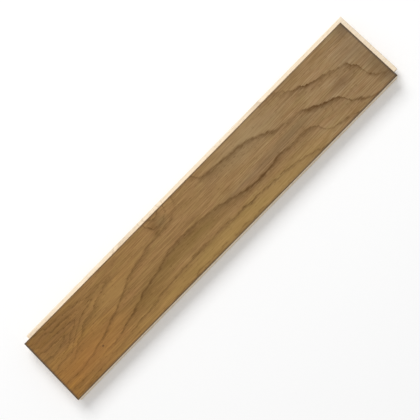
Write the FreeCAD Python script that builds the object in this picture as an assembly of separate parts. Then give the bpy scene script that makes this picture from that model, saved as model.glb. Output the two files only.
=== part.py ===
import FreeCAD, Part
import os

# Oak parquet block, one piece of wood, for laying in herringbone.
#
# The long edges and the ends carry the same machined profile: a tongue on one side, a groove on the
# other that takes the next block's tongue, and a fine bevel round the face. The block is what two
# straight cuts of that profile leave in common, one along the grain and one across it. That gives
# the mitred bevels, the corner where the tongues meet and the corner where the grooves cross.
#
# +X runs along the grain to the tongued end, +Y across it to the tongued edge, +Z up out of the face.
# The origin is on the back, under the middle of the face. All sizes are in millimetres.

# Face and thickness
face_length = 400.0
face_width = 70.0
thickness = 15.0

# Bevels, as wide as they are high
face_bevel = 0.6
back_bevel = 0.5

# Tongue
wear_depth = 5.4
tongue_thickness = 5.0
tongue_length = 5.0
nose_radius = 1.2

# Groove
groove_clearance = 0.1
glue_pocket = 0.5
groove_corner_radius = 0.4
lip_lead_in = 0.5

# The edges below the tongue and groove stand back, so that neighbours close at the face first
lower_setback = 0.3

# Heights above the back
tongue_top = thickness - wear_depth
tongue_bottom = tongue_top - tongue_thickness
groove_top = tongue_top + groove_clearance
groove_bottom = tongue_bottom - groove_clearance

sharp = 0.0


def profile(face_size):
    """Section across a face of face_size, tongue to the plus side: corners (across, height, radius)."""
    edge = face_size / 2
    lower_edge = edge - lower_setback
    nose = edge + tongue_length
    groove_floor = -edge + tongue_length + glue_pocket
    return [
        (-lower_edge + back_bevel, 0, sharp),
        (lower_edge - back_bevel, 0, sharp),
        (lower_edge, back_bevel, sharp),
        (lower_edge, tongue_bottom, sharp),
        (nose, tongue_bottom, nose_radius),
        (nose, tongue_top, nose_radius),
        (edge, tongue_top, sharp),
        (edge, thickness - face_bevel, sharp),
        (edge - face_bevel, thickness, sharp),
        (-edge + face_bevel, thickness, sharp),
        (-edge, thickness - face_bevel, sharp),
        (-edge, groove_top, sharp),
        (groove_floor, groove_top, groove_corner_radius),
        (groove_floor, groove_bottom, groove_corner_radius),
        (-lower_edge + lip_lead_in, groove_bottom, sharp),
        (-lower_edge, groove_bottom - lip_lead_in, sharp),
        (-lower_edge, back_bevel, sharp),
    ]


def towards(start, target, distance):
    """The point that lies distance from start on the way to target."""
    return start + (target - start).normalize() * distance


def section(corners):
    """Flat face inside the corners, as (point, radius). A corner with a radius is a square one, rounded."""
    edges = []
    ends = []
    for index, (corner, radius) in enumerate(corners):
        before = corners[index - 1][0]
        after = corners[(index + 1) % len(corners)][0]
        if radius == sharp:
            ends.append((corner, corner))
            continue
        start = towards(corner, before, radius)
        end = towards(corner, after, radius)
        centre = start + end - corner
        edges.append(Part.Arc(start, towards(centre, corner, radius), end).toShape())
        ends.append((start, end))
    for index, (start, _) in enumerate(ends):
        _, end_before = ends[index - 1]
        edges.append(Part.LineSegment(end_before, start).toShape())
    return Part.Face(Part.Wire(Part.__sortEdges__(edges)))


def cut_along_grain():
    """The long edges' profile, carried from end to end."""
    start = -face_length / 2
    corners = [
        (FreeCAD.Vector(start, across, height), radius)
        for across, height, radius in profile(face_width)
    ]
    return section(corners).extrude(FreeCAD.Vector(face_length + tongue_length, 0, 0))


def cut_across_grain():
    """The ends' profile, carried from edge to edge."""
    start = -face_width / 2
    corners = [
        (FreeCAD.Vector(across, start, height), radius)
        for across, height, radius in profile(face_length)
    ]
    return section(corners).extrude(FreeCAD.Vector(0, face_width + tongue_length, 0))


def parquet_block():
    return cut_along_grain().common(cut_across_grain()).removeSplitter()


os.makedirs("parts", exist_ok=True)
block = parquet_block()
block.exportStep("parts/parquet_block.step")
overall = block.BoundBox
print(f"parquet_block: {len(block.Solids)} solid, {len(block.Faces)} faces, valid {block.isValid()}")
print(f"overall {overall.XLength:.1f} x {overall.YLength:.1f} x {overall.ZLength:.1f} mm")
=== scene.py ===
# %% [markdown]
# # An oak parquet block
#
# The part is one floor block for a herringbone floor: a flat strip of oak with a finished face, raw
# machined edges, a tongue on two sides and a groove on the other two. The frame gives its exact place
# and size. This lesson models the same block again with edit-mode tools, so that its face can carry
# fine relief, and then spends most of its effort on the wood itself.

# %% Load the frame
import math

import bmesh
import bpy
from mathutils import Color, Matrix, Vector


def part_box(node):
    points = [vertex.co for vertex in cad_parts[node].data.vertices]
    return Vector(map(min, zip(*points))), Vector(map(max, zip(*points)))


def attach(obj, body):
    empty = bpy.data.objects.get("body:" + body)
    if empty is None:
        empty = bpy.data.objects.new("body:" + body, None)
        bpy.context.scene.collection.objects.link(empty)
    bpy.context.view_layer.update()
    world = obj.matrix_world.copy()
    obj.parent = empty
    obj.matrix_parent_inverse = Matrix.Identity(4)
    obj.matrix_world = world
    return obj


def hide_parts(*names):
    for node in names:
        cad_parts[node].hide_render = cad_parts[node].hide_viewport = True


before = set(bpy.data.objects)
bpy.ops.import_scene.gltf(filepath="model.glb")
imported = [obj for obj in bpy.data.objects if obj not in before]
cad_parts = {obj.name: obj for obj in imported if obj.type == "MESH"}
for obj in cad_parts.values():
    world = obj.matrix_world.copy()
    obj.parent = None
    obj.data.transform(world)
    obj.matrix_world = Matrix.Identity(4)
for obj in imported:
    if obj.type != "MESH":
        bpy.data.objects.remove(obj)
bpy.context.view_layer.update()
block_low, block_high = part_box("parquet_block")
print("the frame holds", list(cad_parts), "from", tuple(block_low), "to", tuple(block_high))

# %% [markdown]
# ## Sizes
#
# The node's box already holds four sizes. The origin lies under the middle of the face, and the tongues
# stand out on the plus sides only, so the low corner is half the face away and the rest of the high
# corner is tongue. The small sizes of the edge profile can't be read from a box, so they are named
# here.

# %% Measure the block
mm = 0.001
tiny = 0.01 * mm

half_length = -block_low.x
half_width = -block_low.y
face_height = block_high.z
tongue_length = block_high.y - half_width

wear_depth = 5.4 * mm
tongue_thickness = 5.0 * mm
groove_clearance = 0.1 * mm
glue_pocket = 0.5 * mm
lower_setback = 0.3 * mm
face_bevel = 0.6 * mm
back_bevel = 0.5 * mm
nose_radius = 1.2 * mm
lip_lead_in = 0.5 * mm

tongue_top = face_height - wear_depth
tongue_bottom = tongue_top - tongue_thickness
groove_top = tongue_top + groove_clearance
groove_bottom = tongue_bottom - groove_clearance
groove_depth = tongue_length + glue_pocket
print(f"face {2 * half_length / mm:.0f} x {2 * half_width / mm:.0f} mm, {face_height / mm:.0f} mm thick")
print(f"tongue {tongue_length / mm:.1f} mm long, groove {groove_depth / mm:.1f} mm deep")

# %% [markdown]
# ## The core
#
# Three stacked slabs joined by booleans would give this edge profile too, but they leave ragged corners
# where tongue and groove meet. It is simpler to start from what all layers share: the wood between the
# groove floors and the roots of the tongues. Everything else grows out of that core by extruding.

# %% Add the core
bpy.ops.object.select_all(action="DESELECT")
core_low = Vector((groove_depth - half_length, groove_depth - half_width, 0))
core_high = Vector((half_length, half_width, face_height))
bpy.ops.mesh.primitive_cube_add(size=1, location=(core_low + core_high) / 2, scale=core_high - core_low)
block = bpy.context.object
block.name = block.data.name = "oak_block"
bpy.ops.object.transform_apply(location=True, rotation=True, scale=True)
print("core", tuple(round(size / mm, 2) for size in block.dimensions), "mm")

# %% [markdown]
# Flat cuts through the core mark where each layer begins and ends. The groove is a little taller than
# the tongue, so there are four cuts and not two. The faces of a layer are then picked by code, by the
# way they face and where they lie, as one would click them by hand.

# %% Cut the core into layers
facing = 0.9

bpy.ops.object.mode_set(mode="EDIT")
for height in (groove_bottom, tongue_bottom, tongue_top, groove_top):
    bpy.ops.mesh.select_all(action="SELECT")
    bpy.ops.mesh.bisect(plane_co=(0, 0, height), plane_no=(0, 0, 1), threshold=tiny)


def pick(kind, test):
    """Select only those of the block's verts, edges or faces that pass a test, and say how many."""
    bpy.ops.mesh.select_mode(type=kind)
    bpy.ops.mesh.select_all(action="DESELECT")
    mesh = bmesh.from_edit_mesh(block.data)
    parts = {"VERT": mesh.verts, "EDGE": mesh.edges, "FACE": mesh.faces}[kind]
    chosen = [part for part in parts if test(part)]
    for part in chosen:
        part.select_set(True)
    mesh.select_flush_mode()
    bmesh.update_edit_mesh(block.data)
    return len(chosen)


print("layers:", pick("FACE", lambda face: face.normal.x > facing))

# %% [markdown]
# ## Grooves and tongues
#
# A groove isn't cut here: its two lips are extruded from the core, and the groove is the gap between
# them. Extruding both sides in one go, along their normals and with an even offset, also fills the
# corner where they meet. Tongues are made the same way on the other two sides, and at the two mixed
# corners each ends flush with the core, as a cutter would leave it.

# %% Grow the lips and tongues
def is_groove_side(face):
    return min(face.normal.x, face.normal.y) < -facing


def is_tongue_side(face):
    return max(face.normal.x, face.normal.y) > facing


def height_of(face):
    return face.calc_center_median().z


def grow(test, distance):
    """Extrude the faces that pass the test straight out, as one region with square corners."""
    count = pick("FACE", test)
    bpy.ops.mesh.extrude_region_shrink_fatten(
        TRANSFORM_OT_shrink_fatten={"value": distance, "use_even_offset": True}
    )
    return count


upper = grow(lambda face: is_groove_side(face) and height_of(face) > groove_top, groove_depth)
lower = grow(
    lambda face: is_groove_side(face) and height_of(face) < groove_bottom,
    groove_depth - lower_setback,
)
tongues = grow(
    lambda face: is_tongue_side(face) and tongue_bottom < height_of(face) < tongue_top,
    tongue_length,
)
print("extruded", upper, "upper lips,", lower, "lower lips,", tongues, "tongues")

# %% [markdown]
# Below the tongue the edge stands back a little, so that two blocks close at the face first. On the
# groove sides the lower lip is already shorter. On the tongue sides the wall is moved in. Dissolving
# flat edges afterwards takes out the cuts that no longer mark anything.

# %% Set back the lower edges
flat_angle = math.radians(1)
x_axis, y_axis, z_axis = range(3)


def at(value, target):
    return abs(value - target) < tiny


for axis, wall in ((x_axis, half_length), (y_axis, half_width)):
    count = pick("VERT", lambda vert: at(vert.co[axis], wall) and vert.co.z < tongue_bottom + tiny)
    step = Vector((0, 0, 0))
    step[axis] = -lower_setback
    bpy.ops.transform.translate(value=step)
    print("set back", count, "points")

bpy.ops.mesh.select_all(action="SELECT")
bpy.ops.mesh.dissolve_limited(angle_limit=flat_angle)


def on_top(normal, middle):
    """Whether something with this normal and this middle lies in the plane of the block's face."""
    return normal.z > facing and at(middle.z, face_height)


def is_worn_face(face):
    return on_top(face.normal, face.calc_center_median())


print("pieces in the face:", pick("FACE", is_worn_face))

# %% [markdown]
# ## Arrises
#
# No edge of a machined block is razor sharp. The face has a fine bevel all round, which gives the thin
# line between laid blocks. The tongue has a rounded nose, the lower lip a small lead-in, and the back a
# small bevel. The bevel operator makes all four: one segment leaves a flat bevel, several leave a
# round.

# %% Ease the edges
nose_segments = 4


def lies_at(edge, axis, target):
    """Whether both ends of an edge lie in a plane."""
    return all(at(end.co[axis], target) for end in edge.verts)


def on_nose(edge):
    """Long edges of a tongue's nose: level, and in the plane that is furthest out."""
    first, second = edge.verts
    on_end = lies_at(edge, x_axis, half_length + tongue_length)
    on_side = lies_at(edge, y_axis, half_width + tongue_length)
    return at(first.co.z, second.co.z) and (on_end or on_side)


def on_lip(edge):
    """Mouth edges of the lower lips."""
    on_end = lies_at(edge, x_axis, lower_setback - half_length)
    on_side = lies_at(edge, y_axis, lower_setback - half_width)
    return lies_at(edge, z_axis, groove_bottom) and (on_end or on_side)


def ease(name, test, size, segments=1):
    count = pick("EDGE", test)
    bpy.ops.mesh.bevel(offset=size, offset_type="OFFSET", segments=segments, affect="EDGES")
    print(f"{name}: {count} edges eased by {size / mm:.1f} mm")


ease("face", lambda edge: lies_at(edge, z_axis, face_height), face_bevel)
ease("back", lambda edge: lies_at(edge, z_axis, 0), back_bevel)
ease("lip", on_lip, lip_lead_in)
ease("nose", on_nose, nose_radius, nose_segments)
bpy.ops.object.mode_set(mode="OBJECT")
print("eased block:", len(block.data.polygons), "faces,", len(block.data.vertices), "points")

# %% [markdown]
# ## A face that can hold relief
#
# So far the face is one large quad, and a quad can only be flat. It is inset a little, to keep the
# bevel clean, and subdivided twice into a fine grid, narrow across the grain where the wood changes
# fastest.

# %% Subdivide the face
face_inset = 0.2 * mm
coarse_cuts = 9
fine_cuts = 19

bpy.ops.object.mode_set(mode="EDIT")
pick("FACE", is_worn_face)
bpy.ops.mesh.inset(thickness=face_inset, depth=0)
bpy.ops.mesh.subdivide(number_cuts=coarse_cuts)
bpy.ops.mesh.subdivide(number_cuts=fine_cuts)
print("faces in the grid:", pick("FACE", is_worn_face))

# %% [markdown]
# The bake map is laid out now, while faces are easy to tell apart. The face gets half of it and is
# stretched to fill that half, because grain changes fast across the block and slowly along it. The
# other half is shared by the edges and the back. A face attribute notes which faces cut across the
# grain, since the wood is darker there.

# %% Lay out the bake map and mark the end grain
map_border = 0.005
map_inner = 1 - 2 * map_border

bpy.ops.mesh.uv_texture_add()
block.data.uv_layers.active.name = "OFBake"
print("faces beside the grid:", pick("FACE", lambda face: not is_worn_face(face)))
bpy.ops.uv.smart_project(island_margin=map_border, scale_to_bounds=True)
bpy.ops.object.mode_set(mode="OBJECT")

bake_map = block.data.uv_layers["OFBake"]
for face in block.data.polygons:
    worn = on_top(face.normal, face.center)
    for corner in face.loop_indices:
        spot = bake_map.uv[corner].vector
        if worn:
            point = block.data.vertices[block.data.loops[corner].vertex_index].co
            spot.x = (point.x / half_length + 1) / 2
            spot.y = (point.y / half_width + 1) / 2
        spot.x = map_border + map_inner * spot.x
        spot.y = (map_border + map_inner * spot.y + (0 if worn else 1)) / 2
end_grain = block.data.attributes.new("end_grain", "FLOAT", "FACE")
end_grain.data.foreach_set("value", [abs(face.normal.x) for face in block.data.polygons])
print("mapped", len(block.data.polygons), "faces")

# %% [markdown]
# ## Growth rings
#
# Wood has no picture printed on it: the lines on the face are where the saw has cut through the yearly
# growth rings of the tree. So the figure isn't painted on the face. It is worked out at every point of
# the block, in three dimensions, and the lines then run on over the edges and into the end grain.
# Nodes do the sums. A small class lets the script write them as ordinary arithmetic, and each sum adds
# a node, so the same functions can build the relief of the face and its colour.

# %% Write node sums as arithmetic
noise_low = 0.3
noise_high = 0.7


class Field:
    """A value that changes from place to place: the output of a node. Sums with it add Math nodes."""

    def __init__(self, tree, socket):
        self.tree = tree
        self.socket = socket

    def maths(self, operation, *others):
        inputs = dict(enumerate((self, *others)))
        return result(self.tree, "ShaderNodeMath", inputs, operation=operation)

    def __add__(self, other):
        return self.maths("ADD", other)

    def __sub__(self, other):
        return self.maths("SUBTRACT", other)

    def __mul__(self, other):
        return self.maths("MULTIPLY", other)

    def __truediv__(self, other):
        return self.maths("DIVIDE", other)

    def __pow__(self, other):
        return self.maths("POWER", other)

    def spread(self, low, high, to_low=0.0, to_high=1.0, shape="LINEAR"):
        """The value carried over from one range to another, and held at the ends."""
        inputs = {"Value": self, "From Min": low, "From Max": high, "To Min": to_low, "To Max": to_high}
        return result(self.tree, "ShaderNodeMapRange", inputs, interpolation_type=shape)

    def swing(self, low, high):
        """A noise carried over from the range that it mostly keeps to."""
        return self.spread(noise_low, noise_high, low, high)


print("noise is taken to lie between", noise_low, "and", noise_high)

# %% [markdown]
# The class leans on two helpers that do what one does by hand in the node editor: put a node in, choose
# its settings, type a number into a socket or draw a link to it. A third takes a place apart into its
# three coordinates.

# %% Add nodes
def add(tree, kind, inputs, **settings):
    """Add a node with its settings, and give each input a value or a link."""
    made = tree.nodes.new(kind)
    for name, value in settings.items():
        setattr(made, name, value)
    for key, value in inputs.items():
        if isinstance(value, Field):
            tree.links.new(value.socket, made.inputs[key])
        else:
            made.inputs[key].default_value = value
    return made


def result(tree, kind, inputs, output=0, **settings):
    """Add a node and return one of its outputs as a field."""
    return Field(tree, add(tree, kind, inputs, **settings).outputs[output])


def axes_of(place):
    """The three coordinates of a place."""
    axes = (x_axis, y_axis, z_axis)
    return [result(place.tree, "ShaderNodeSeparateXYZ", {0: place}, output=axis) for axis in axes]


print("nodes can be added, linked and summed")

# %% [markdown]
# Everything in wood is drawn out along the grain: fibres, pores and stains. So each pattern is given a
# cell, in millimetres along and across the grain, and space is squeezed by it before noise is looked
# up. A shift moves the pattern elsewhere in the noise, so that no two patterns repeat each other. Soft
# ovals on the face mark places where something happens only once.

# %% Make noise that follows the grain
def stretched(place, cell, shift):
    """The place counted in cells, from a shifted start."""
    along, across = cell
    squeeze = (1 / (along * mm), 1 / (across * mm), 1 / (across * mm))
    inputs = {0: place, 1: squeeze, 2: (shift, shift, shift)}
    return result(place.tree, "ShaderNodeVectorMath", inputs, operation="MULTIPLY_ADD")


def grain_noise(place, cell, detail, shift):
    """Noise from 0 to 1 with blotches of about the size of a cell."""
    inputs = {"Vector": stretched(place, cell, shift), "Scale": 1.0, "Detail": detail}
    return result(place.tree, "ShaderNodeTexNoise", inputs)


def near(place, spot):
    """1 at the middle of a soft oval on the face, falling to 0 at its rim."""
    x, y, reach_along, reach_across = spot
    inputs = {
        0: place,
        1: (1 / (reach_along * mm), 1 / (reach_across * mm), 0.0),
        2: (-x / reach_along, -y / reach_across, 0.0),
    }
    offset = result(place.tree, "ShaderNodeVectorMath", inputs, operation="MULTIPLY_ADD")
    away = result(place.tree, "ShaderNodeVectorMath", {0: offset}, output="Value", operation="LENGTH")
    return away.spread(0, 1, 1, 0, shape="SMOOTHSTEP")


print("noise is stretched along the grain")

# %% [markdown]
# Four ring lines are drawn as points in millimetres along and across the face. They are nested
# arches with steps at the head end, and the third runs off the outer edge and comes back. A fifth line
# closes the fourth into a point at the tail end. Each is a curve node, which passes smoothly through
# its points.

# %% Draw the ring lines
first_line = ((-200, -33), (-120, -26), (-57, -20.5), (21, -20.5), (76, -24.5), (114, -34), (205, -58))
second_line = (
    (-200, -26), (-144, -22.5), (-87, -8.5), (-68, -4.5), (-54, 0), (-30, 0.5), (6, -3.5),
    (41, -12), (86, -11), (116, -14), (125, -26), (143, -31), (205, -49),
)
third_line = (
    (-200, -18), (-164, -16), (-114, 0), (-93, 9.3), (-57, 16.4), (-40, 18.3), (-29, 20), (-20, 25),
    (-14, 38), (-6, 44), (8, 38), (14, 26.5), (27, 24), (52, 21.5), (74, 16.5), (90, 8), (100, 5.5),
    (118, 4), (125, 0), (143, -8.5), (151, -12), (156, -22), (174, -33), (205, -42),
)
fourth_line = (
    (-200, -5.5), (-175, -5.5), (-168, -1), (-157, 5), (-149, 9.5), (-131, 14.5), (-106, 24), (-60, 58),
    (86, 60), (105, 42), (114, 32.5), (129, 22), (161, 10), (173, 6), (182, -3), (185, -17), (205, -29),
)
closing_line = ((-200, 34), (-166, 29.5), (-143, 26.5), (-122, 23), (-102, 23), (-60, 60), (205, 75))
drawn_lines = (first_line, second_line, third_line, fourth_line, closing_line)
lowest_line = -60 * mm
highest_line = 80 * mm


def drawn(x, points):
    """How far across the face a drawn line lies, at a place along the block."""
    span = block_high.x - block_low.x
    rise = highest_line - lowest_line
    along = x.spread(block_low.x, block_high.x)
    made = add(x.tree, "ShaderNodeFloatCurve", {"Value": along})
    curve = made.mapping.curves[0]
    spots = [((far * mm - block_low.x) / span, (up * mm - lowest_line) / rise) for far, up in points]
    curve.points[0].location = spots[0]
    curve.points[1].location = spots[-1]
    for spot in spots[1:-1]:
        curve.points.new(*spot)
    made.mapping.update()
    return Field(x.tree, made.outputs[0]).spread(0, 1, lowest_line, highest_line)


print("points in the drawn lines:", [len(line) for line in drawn_lines])

# %% [markdown]
# The ring number of a place says how far it lies between these lines, so whole numbers are the lines
# themselves. Inside the first line and in the closed point at the tail more rings follow at an even
# spacing, and deeper in the block they pile up, one for each few millimetres. A small swirl at the
# outer edge is a bump with a steep rim in the ring number. Three noises then push the whole pattern
# about: a slow wander, a jolt that makes steps, and a fray that pulls every line into fingers along the
# grain, as pores do.

# %% Number the rings
inner_ring = 12 * mm
tail_ring = 5.5 * mm
head_ring = 150 * mm
fan_end = -90 * mm
arch_start = -50 * mm
skirt = 2 * mm
skirt_ring = 13 * mm
ring_depth = 3.2 * mm
swirl_spot = (-39.5, 35, 16, 16)
swirl_rise = 2
swirl_steepness = 0.5
wander_reach = 1.0 * mm
jolt_reach = 0.4 * mm
jolt_along = 2
fray_reach = 0.45 * mm


def sway(place, reach, cell, detail, shift):
    """A push of up to a reach either way, that changes from place to place."""
    return grain_noise(place, cell, detail, shift).swing(-reach, reach)


def ring_number(place):
    """The growth ring in which a place lies, with the fraction of the way through it."""
    x, y, z = axes_of(place)
    wander = sway(place, wander_reach, cell=(14, 7), detail=1, shift=0)
    jolt = sway(place, jolt_reach, cell=(6, 3), detail=1, shift=4)
    fray = sway(place, fray_reach, cell=(9, 0.9), detail=2, shift=7)
    x = x + jolt * jolt_along
    y = y + wander + jolt + fray
    moved = result(place.tree, "ShaderNodeCombineXYZ", {"X": x, "Y": y, "Z": z})
    first, second, third, fourth, closing = [drawn(x, line) for line in drawn_lines]
    before = ((y - first) / inner_ring).maths("MINIMUM", 0)
    between = y.spread(first, second) + y.spread(second, third)
    last = y.spread(third, fourth).maths("MINIMUM", ((closing - y) / skirt_ring + 1).spread(0, 1))
    beyond = (y - fourth).maths("MINIMUM", closing - y).maths("MAXIMUM", 0)
    spacing = x.spread(fan_end, arch_start, tail_ring, head_ring)
    beyond = beyond / spacing + beyond.maths("MINIMUM", skirt) / skirt_ring
    swirl = near(moved, swirl_spot) ** swirl_steepness * swirl_rise
    return before + between + last + beyond + swirl + (z - face_height) / ring_depth


print("rings lie", ring_depth / mm, "mm apart in depth")

# %% [markdown]
# A ring line isn't a hairline. The porous wood sets in with a short edge on one side, and fades slowly
# into dense wood on the other. Two curves over the fraction of the ring give both sides.

# %% Shape a ring line
line_rise = 10
line_fall = 0.07


def ring_line_of(through_ring):
    """1 on a ring line, with a slow rise on its inner side and a short fall on its outer side."""
    fall = through_ring.spread(0, line_fall, 1, 0, shape="SMOOTHSTEP")
    return (through_ring ** line_rise).maths("MAXIMUM", fall)


print("a line takes up", line_fall, "of its ring on the short side")

# %% [markdown]
# ## Relief
#
# The porous lines are softer than the wood between them, so planing, sanding and wear leave them a few
# hundredths of a millimetre lower. A bump map would show that only in the light, so a geometry node
# tree sinks the grid itself. It only ever goes down, and fades out towards the bevel, so the block
# keeps its size. Applying the modifier makes the relief part of the mesh.

# %% Sink the grain lines
relief_depth = 0.07 * mm
ridge_share = 0.6
relief_start = face_bevel + 2 * face_inset
relief_full = face_bevel + 2 * mm
smooth_angle = math.radians(20)


def inwards(value, half):
    """How far a coordinate is from the nearer of the two sides at plus and minus half a size."""
    return value.maths("ABSOLUTE") * -1 + half


def distance_from_edge(x, y):
    """How far a place on the face is from its nearest side."""
    return inwards(x, half_length).maths("MINIMUM", inwards(y, half_width))


relief = bpy.data.node_groups.new("grain_relief", "GeometryNodeTree")
relief.interface.new_socket("Geometry", in_out="INPUT", socket_type="NodeSocketGeometry")
relief.interface.new_socket("Geometry", in_out="OUTPUT", socket_type="NodeSocketGeometry")
flat_block = result(relief, "NodeGroupInput", {})
place = result(relief, "GeometryNodeInputPosition", {})
x, y, z = axes_of(place)
on_face = distance_from_edge(x, y).spread(relief_start, relief_full)
on_face = on_face * z.maths("GREATER_THAN", face_height - tiny)
ridges = grain_noise(place, cell=(30, 2), detail=1, shift=2)
sunk = ring_line_of(ring_number(place).maths("FRACT")) + ridges * ridge_share
drop = result(relief, "ShaderNodeCombineXYZ", {"Z": sunk * on_face * -relief_depth})
lowered = result(relief, "GeometryNodeSetPosition", {"Geometry": flat_block, "Offset": drop})
add(relief, "NodeGroupOutput", {0: lowered})

bpy.ops.object.modifier_add(type="NODES")
block.modifiers[-1].node_group = relief
bpy.ops.object.modifier_apply(modifier=block.modifiers[-1].name)
bpy.ops.object.shade_smooth_by_angle(angle=smooth_angle)
lowest = min(vert.co.z for vert in block.data.vertices if vert.co.z > face_height - face_bevel / 2)
print(f"relief down to {(face_height - lowest) / mm:.3f} mm under the face")

# %% [markdown]
# ## The wood
#
# Oak is ring-porous: each ring begins with a band of wide vessels, and goes on as dense, even wood with
# few pores. Along the grain they are short dashes, and on the ends they are dots. Rays show as longer,
# finer dashes. A Voronoi pattern gives all of them: each cell may hold one mark, and chance decides
# which cells do. The material numbers the rings again, so that its lines lie in the relief, and pulls
# them into one more set of fingers that is too fine for the mesh.

# %% Start the oak and scatter its pores
fine_fray_reach = 0.8 * mm
pore_gathering = 3
pore_rise = 0.75
pore_least = 0.15
ray_share = 0.5


def dashes(place, cell, thickness, share, shift=0):
    """Short marks along the grain, one in each of a share of the cells of a Voronoi pattern."""
    inputs = {"Vector": stretched(place, cell, shift), "Scale": 1.0}
    cells = add(place.tree, "ShaderNodeTexVoronoi", inputs)
    luck = axes_of(Field(place.tree, cells.outputs["Color"]))[0]
    mark = Field(place.tree, cells.outputs["Distance"]).spread(thickness / 2, thickness, 1, 0)
    return mark * luck.maths("LESS_THAN", share)


oak = bpy.data.materials.new("stained_oak")
oak.use_nodes = True
wood = oak.node_tree
wood.nodes.clear()
place = result(wood, "ShaderNodeTexCoord", {}, output="Object")
x, y, z = axes_of(place)
fine_fray = sway(place, fine_fray_reach, cell=(7, 0.35), detail=1, shift=21)
push = result(wood, "ShaderNodeCombineXYZ", {"Y": fine_fray})
frayed = result(wood, "ShaderNodeVectorMath", {0: place, 1: push}, operation="ADD")
through_ring = ring_number(frayed).maths("FRACT")
pore_share = through_ring ** pore_gathering * pore_rise + pore_least
pores = dashes(place, cell=(6, 0.55), thickness=0.3, share=pore_share)
rays = dashes(place, cell=(17, 1.3), thickness=0.16, share=ray_share)
print("rings and pores made of", len(wood.nodes), "nodes")

# %% [markdown]
# The lines aren't equally dark all along: noise makes them come and go, and soft ovals mark where they
# are bolder and fainter. In a bold stretch the line is a dense row of vessels, and those are a second,
# finer set of dashes that follows the line's own strength. An oval is given by its middle, along and
# across the face, and by how far it reaches either way, all in millimetres.

# %% Weigh the ring lines
bold_spots = {
    (0, -31, 240, 16): -0.1,      # rings inside the first line
    (-150, -28, 60, 9): -0.25,    # first line at the tail
    (0, -20, 150, 8): 0.1,        # top of the first line
    (-190, -20, 60, 18): -0.3,    # second and third lines at the tail
    (-105, -12, 60, 12): 0.35,    # second line as it rises
    (-25, -1, 45, 8): 0.25,       # top of the second line
    (55, -11, 48, 10): 0.6,       # second line past the middle
    (-85, 11, 50, 10): -0.05,     # third line as it rises
    (-20, 24, 14, 12): -0.35,     # third line as it runs off the edge
    (38, 24, 42, 6): 0.1,         # third line where it comes back
    (86, 10, 20, 10): 0.15,       # third line at its first step
    (138, -4, 36, 14): 0.5,       # third line at its second step
    (153, -17, 16, 16): 0.4,      # third line as it turns down
    (140, 18, 45, 14): 0.55,      # fourth line by the head
    (182, -5, 16, 22): 0.6,       # fourth line as it turns down
    (-47, 25, 11, 10): 0.8,       # tail side of the swirl
    (-180, 14, 50, 26): 0.25,     # fan at the tail
    (-192, 17, 24, 14): -0.4,     # calm patch inside the fan
}
faintest_line = 0.35
boldest_line = 0.7
shade_rise = 2.5
line_weight = 0.87
shade_weight = 0.22
vessel_weight = 0.4
pore_weight = 0.65
ray_weight = 0.45

strength = grain_noise(place, cell=(50, 14), detail=1, shift=3).swing(faintest_line, boldest_line)
for spot, more in bold_spots.items():
    strength = strength + near(place, spot) * more
ring_line = ring_line_of(through_ring) * strength
ring_shade = through_ring ** shade_rise * strength
vessels = dashes(place, cell=(7, 0.36), thickness=0.42, share=ring_line, shift=11)
dark = ring_line * line_weight + ring_shade * shade_weight + vessels * vessel_weight
dark = (dark + pores * pore_weight + rays * ray_weight).spread(0, 1)
print("lines weighed by", len(bold_spots), "spots")

# %% [markdown]
# ## Stain
#
# The face is stained a warm brown, more orange at the tail and greyer at the head, where the grey is
# partly a painted sheen, and left matt. One flat colour would look like plastic, because stain sinks in
# unevenly. So thin coats of other tones lie over each other, each with its own noise: long streaks,
# clouds, olive and rosy patches, fibres and fine hairlines.

# %% Mix the stain
top_step = 255


def paint(red, green, blue):
    """A colour in the usual steps from 0 to 255, as the linear light that shaders use."""
    seen = Color((red / top_step, green / top_step, blue / top_step))
    return (*seen.from_srgb_to_scene_linear(), 1.0)


def mix(share, first, second):
    """Two colours mixed by a share from 0 to 1."""
    inputs = {0: share, 6: first, 7: second}
    return result(share.tree, "ShaderNodeMix", inputs, output=2, data_type="RGBA")


tail_tone = paint(180, 129, 49)
# The head tone is greyer partly as a painted sheen, a reflection put into the colour.
head_tone_and_sheen = paint(176, 156, 121)
hair_tone = paint(106, 74, 36)
hair_start = 0.5
hair_full = 0.65
hair_share = 0.45

streaks = grain_noise(place, cell=(200, 8), detail=2, shift=5)
clouds = grain_noise(place, cell=(60, 20), detail=1, shift=9)
olive_patches = grain_noise(place, cell=(16, 6), detail=2, shift=12)
rosy_patches = grain_noise(place, cell=(20, 5), detail=2, shift=14)
fibres = grain_noise(place, cell=(16, 0.9), detail=3, shift=1)
hairs = grain_noise(place, cell=(70, 0.5), detail=2, shift=15)

# Each coat has a pattern, a share where the pattern is strongest, and a tone.
coats = (
    (streaks, 0.4, paint(120, 86, 44)),
    (clouds, 0.3, paint(172, 138, 94)),
    (olive_patches, 0.35, paint(148, 124, 62)),
    (rosy_patches, 0.3, paint(168, 118, 80)),
    (fibres, 0.7, paint(114, 80, 36)),
)
stained = mix(x.spread(block_low.x, block_high.x), tail_tone, head_tone_and_sheen)
for pattern, strongest, tone in coats:
    stained = mix(pattern.swing(0, strongest), stained, tone)
stained = mix(hairs.spread(hair_start, hair_full, 0, hair_share), stained, hair_tone)
print("stain of", len(coats), "coats and hairlines")
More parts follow.
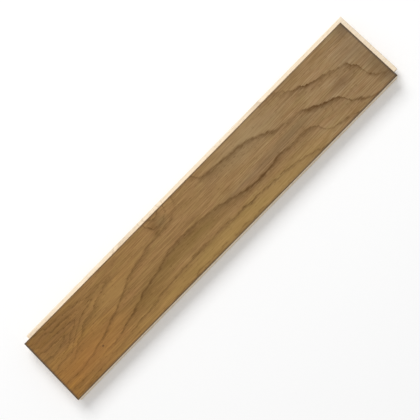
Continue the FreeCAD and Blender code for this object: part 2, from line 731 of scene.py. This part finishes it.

# %% [markdown]
# Wood also takes stain differently from one growth zone to the next. Noise can't know where that is, so
# soft ovals tone the larger areas one by one, each laid over the coats at half strength. The last four
# darken the head end and its corners.

# %% Tone the larger areas
tone_spots = {
    (-35, -7, 90, 11): paint(118, 92, 34),      # olive below the second line
    (-98, -15, 48, 9): paint(112, 84, 30),      # olive below the second line as it rises
    (-172, 22, 46, 30): paint(118, 82, 42),     # brown inside the fan
    (-168, -15, 74, 25): paint(163, 109, 52),   # orange at the tail
    (10, -29, 190, 17): paint(165, 134, 70),    # golden along the groove side
    (-38, 24, 12, 8): paint(104, 84, 46),       # dark foot of the swirl
    (-46, 25, 8, 8): paint(100, 64, 18),        # brown tail side of the swirl
    (102, -3, 36, 8): paint(118, 94, 54),       # shade between second and third lines
    (-112, 10, 36, 11): paint(170, 132, 74),    # pale between fan and third line
    (64, 22, 66, 20): paint(160, 137, 98),      # pale by the outer edge
    (160, -4, 22, 8): paint(118, 90, 58),       # shade between third and fourth lines
    (197, -12, 20, 22): paint(100, 78, 48),     # dark head beside the fourth line
    (190, 10, 30, 16): paint(128, 106, 78),     # middle of the head
    (203, 30, 26, 18): paint(70, 56, 40),       # outer corner of the head
    (203, -30, 24, 16): paint(70, 54, 34),      # groove corner of the head
}
tone_share = 0.5

for spot, tone in tone_spots.items():
    stained = mix(near(place, spot) * tone_share, stained, tone)
print("toned", len(tone_spots), "areas")

# %% [markdown]
# The figure goes on top of the stain: a smoky band above the second line, the dark ring lines and
# pores, and one small pin knot. A grey rim along every edge of the face is painted shade at the bevel.
# The ends take up more stain than the sides, as cut pores drink, and a darker rim along both ends of
# the face is painted shade there too.

# %% Darken the figure
smoke_spot = (60, -5, 85, 9)
smoke_least = 0.25
smoke_most = 0.6
knot_spot = (-151, -17, 1.6, 1.3)
rim_start = 0.4 * mm
edge_shade_end = 1.8 * mm
edge_shade_share = 0.6
end_shade_reach = 2.6 * mm
end_shade_share = 0.75
end_grain_low = 0.5
end_grain_high = 0.9
stained_end_share = 0.4

smoke = near(place, smoke_spot) * streaks.swing(smoke_least, smoke_most)
knot = near(place, knot_spot)
# Painted shade: a grey rim along every edge of the face.
painted_edge_shade = distance_from_edge(x, y).spread(rim_start, edge_shade_end, edge_shade_share, 0)
# Painted shade: a darker rim along both ends of the face.
painted_end_shade = inwards(x, half_length).spread(rim_start, end_shade_reach, end_shade_share, 0)
across_grain = result(wood, "ShaderNodeAttribute", {}, output="Fac", attribute_name="end_grain")
cut_end = across_grain.spread(end_grain_low, end_grain_high)
figure = (
    (smoke, paint(100, 78, 56)),
    (dark, paint(88, 56, 8)),
    (knot, paint(70, 44, 24)),
    (painted_edge_shade, paint(76, 64, 52)),
    (painted_end_shade, paint(74, 60, 46)),
    (cut_end * stained_end_share, paint(70, 46, 26)),
)
for share, tone in figure:
    stained = mix(share, stained, tone)
print("stained oak made of", len(wood.nodes), "nodes")

# %% [markdown]
# ## Raw wood
#
# The machined edges and the back are raw and pale, and darker where they cut across the grain. Stain
# runs over the bevel and stops a little below it, with a ragged edge, so the material fades from one
# wood to the other by height.

# %% Join stained and raw wood
raw_tone = paint(246, 233, 212)
raw_fibre_tone = paint(228, 207, 174)
raw_fibre_share = 0.6
raw_end_tone = paint(196, 162, 120)
raw_end_share = 0.5
raw_line_tone = paint(160, 126, 88)
raw_line_share = 0.7
stain_stop = face_height - 2 * face_bevel
stain_fade = 0.8 * mm

raw = mix(fibres.swing(0, raw_fibre_share), raw_tone, raw_fibre_tone)
raw = mix(cut_end * raw_end_share, raw, raw_end_tone)
raw = mix(dark * raw_line_share, raw, raw_line_tone)
stain_height = z + fibres * stain_fade
finished = stain_height.spread(stain_stop, stain_stop + stain_fade, shape="SMOOTHSTEP")
print("stain stops", round((face_height - stain_stop) / mm, 2), "mm under the face")

# %% [markdown]
# A moulding cutter leaves small, even waves along the raw edges, one for each knife as it comes round.
# They are far too fine for the mesh, as are single fibres, so they are bump. The finish on the face is
# smoother than raw wood, but still matt.

# %% Finish the surface
knife_pitch = 2.4 * mm
knife_wave = 0.12
fibre_ridge = 0.4
pore_pit = 0.6
vessel_pit = 0.4
line_dip = 0.3
bump_height = 0.1 * mm
bump_strength = 0.4
raw_roughness = 0.75
face_roughness = 0.5
pore_roughness = 0.15
shine = 0.2

waves = (x * (2 * math.pi / knife_pitch)).maths("SINE")
knife_marks = waves * (cut_end.maths("MAXIMUM", finished) * -1 + 1)
texture = fibres * fibre_ridge - pores * pore_pit - vessels * vessel_pit - ring_line * line_dip
texture = texture + knife_marks * knife_wave
bump_inputs = {"Height": texture, "Strength": bump_strength, "Distance": bump_height}
surface = result(wood, "ShaderNodeBsdfPrincipled", {
    "Base Color": mix(finished, raw, stained),
    "Roughness": finished.spread(0, 1, raw_roughness, face_roughness) + pores * pore_roughness,
    "Normal": result(wood, "ShaderNodeBump", bump_inputs),
    "Specular IOR Level": shine,
})
add(wood, "ShaderNodeOutputMaterial", {"Surface": surface})
block.data.materials.append(oak)
print("oak made of", len(wood.nodes), "nodes")

# %% [markdown]
# ## Floor
#
# The block lies on a white floor, as a sample is laid out for a catalogue picture. A white that is only
# lit would look grey in places, so the floor also glows a little, but only to the camera and in mirrors
# and glass. The glow lights nothing else, and the block's soft shadow still shows.

# %% Lay the floor
floor_size = 8
floor_drop = 0.05 * mm
floor_white = (0.9, 0.9, 0.9, 1)
floor_glow = 0.12
white = (1, 1, 1, 1)


def seen_directly(tree):
    """1 where the camera looks straight at something, or sees it in a mirror or through glass."""
    paths = add(tree, "ShaderNodeLightPath", {}).outputs
    straight = Field(tree, paths["Is Camera Ray"])
    mirrored = Field(tree, paths["Is Glossy Ray"])
    through_glass = Field(tree, paths["Is Transmission Ray"])
    return straight.maths("MAXIMUM", mirrored).maths("MAXIMUM", through_glass)


bpy.ops.object.select_all(action="DESELECT")
bpy.ops.mesh.primitive_plane_add(size=floor_size, location=(0, 0, -floor_drop))
floor = bpy.context.object
floor.name = "floor"
floor_paint = bpy.data.materials.new("white_floor")
floor_paint.use_nodes = True
paper = floor_paint.node_tree
paper.nodes.clear()
glow_strength = seen_directly(paper) * floor_glow
matt = result(paper, "ShaderNodeBsdfDiffuse", {"Color": floor_white})
glow = result(paper, "ShaderNodeEmission", {"Color": white, "Strength": glow_strength})
lit_and_glowing = result(paper, "ShaderNodeAddShader", {0: matt, 1: glow})
add(paper, "ShaderNodeOutputMaterial", {"Surface": lit_and_glowing})
floor.data.materials.append(floor_paint)
print("floor", floor_size, "m wide")

# %% [markdown]
# ## Light
#
# A matt floor block is best shown by one large soft lamp and an even sky. The lamp hangs well out on
# the outer side, away from where the camera would see it mirrored in the face, so it brings out the
# relief and doesn't grey the colour. The sky is about half as bright for the block as it looks to the
# camera.

# %% Hang the lamp and the sky
lamp_size = 1.4
lamp_power = 34
lamp_place = (0.4, 1.5, 1.7)
sky_on_block = 0.55
sky_in_view = 1.0
middle = Vector((0, 0, face_height))


def face_towards(thing, target, up):
    """Turn a lamp or camera to look at a point, with its upper edge towards up."""
    forward = (target - thing.location).normalized()
    right = forward.cross(up).normalized()
    turned = Matrix((right, right.cross(forward), -forward)).transposed()
    thing.rotation_euler = turned.to_euler()


lamp = bpy.data.objects.new("soft_lamp", bpy.data.lights.new("soft_lamp", "AREA"))
bpy.context.collection.objects.link(lamp)
lamp.data.shape = "SQUARE"
lamp.data.size = lamp_size
lamp.data.energy = lamp_power
lamp.location = lamp_place
face_towards(lamp, middle, Vector((1, 0, 0)))

world = bpy.data.worlds.new("studio")
bpy.context.scene.world = world
world.use_nodes = True
sky = world.node_tree
sky.nodes.clear()
soft = result(sky, "ShaderNodeBackground", {"Color": white, "Strength": sky_on_block})
bright = result(sky, "ShaderNodeBackground", {"Color": white, "Strength": sky_in_view})
both = result(sky, "ShaderNodeMixShader", {0: seen_directly(sky), 1: soft, 2: bright})
add(sky, "ShaderNodeOutputWorld", {"Surface": both})
bpy.context.scene.view_settings.view_transform = "Standard"
print(f"lamp {(lamp.location - middle).length:.2f} m from the block")

# %% [markdown]
# ## Camera
#
# The camera looks down from almost straight above, a little from the groove side, through a long lens
# that keeps the sides of the block nearly parallel. It is rolled so that the block lies on the
# picture's diagonal, tail at the lower left and head at the upper right.

# %% Place the camera
camera_distance = 1.27
camera_elevation = math.radians(79)
camera_turn = math.radians(2)
picture_pixels = 420
focal_pixels = 1440
sensor_width = 36
picture_up = Vector((1, 1, 0)).normalized()

camera = bpy.data.objects.new("camera", bpy.data.cameras.new("camera"))
bpy.context.collection.objects.link(camera)
bpy.context.scene.camera = camera
camera.location = middle + camera_distance * Vector((
    -math.sin(camera_turn) * math.cos(camera_elevation),
    -math.cos(camera_turn) * math.cos(camera_elevation),
    math.sin(camera_elevation),
))
face_towards(camera, middle, picture_up)
camera.data.sensor_width = sensor_width
camera.data.lens = focal_pixels / picture_pixels * sensor_width
print(f"camera with a lens of {camera.data.lens:.0f} mm")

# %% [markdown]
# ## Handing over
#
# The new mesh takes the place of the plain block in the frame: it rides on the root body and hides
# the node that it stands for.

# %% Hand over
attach(block, "root")
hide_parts("parquet_block")
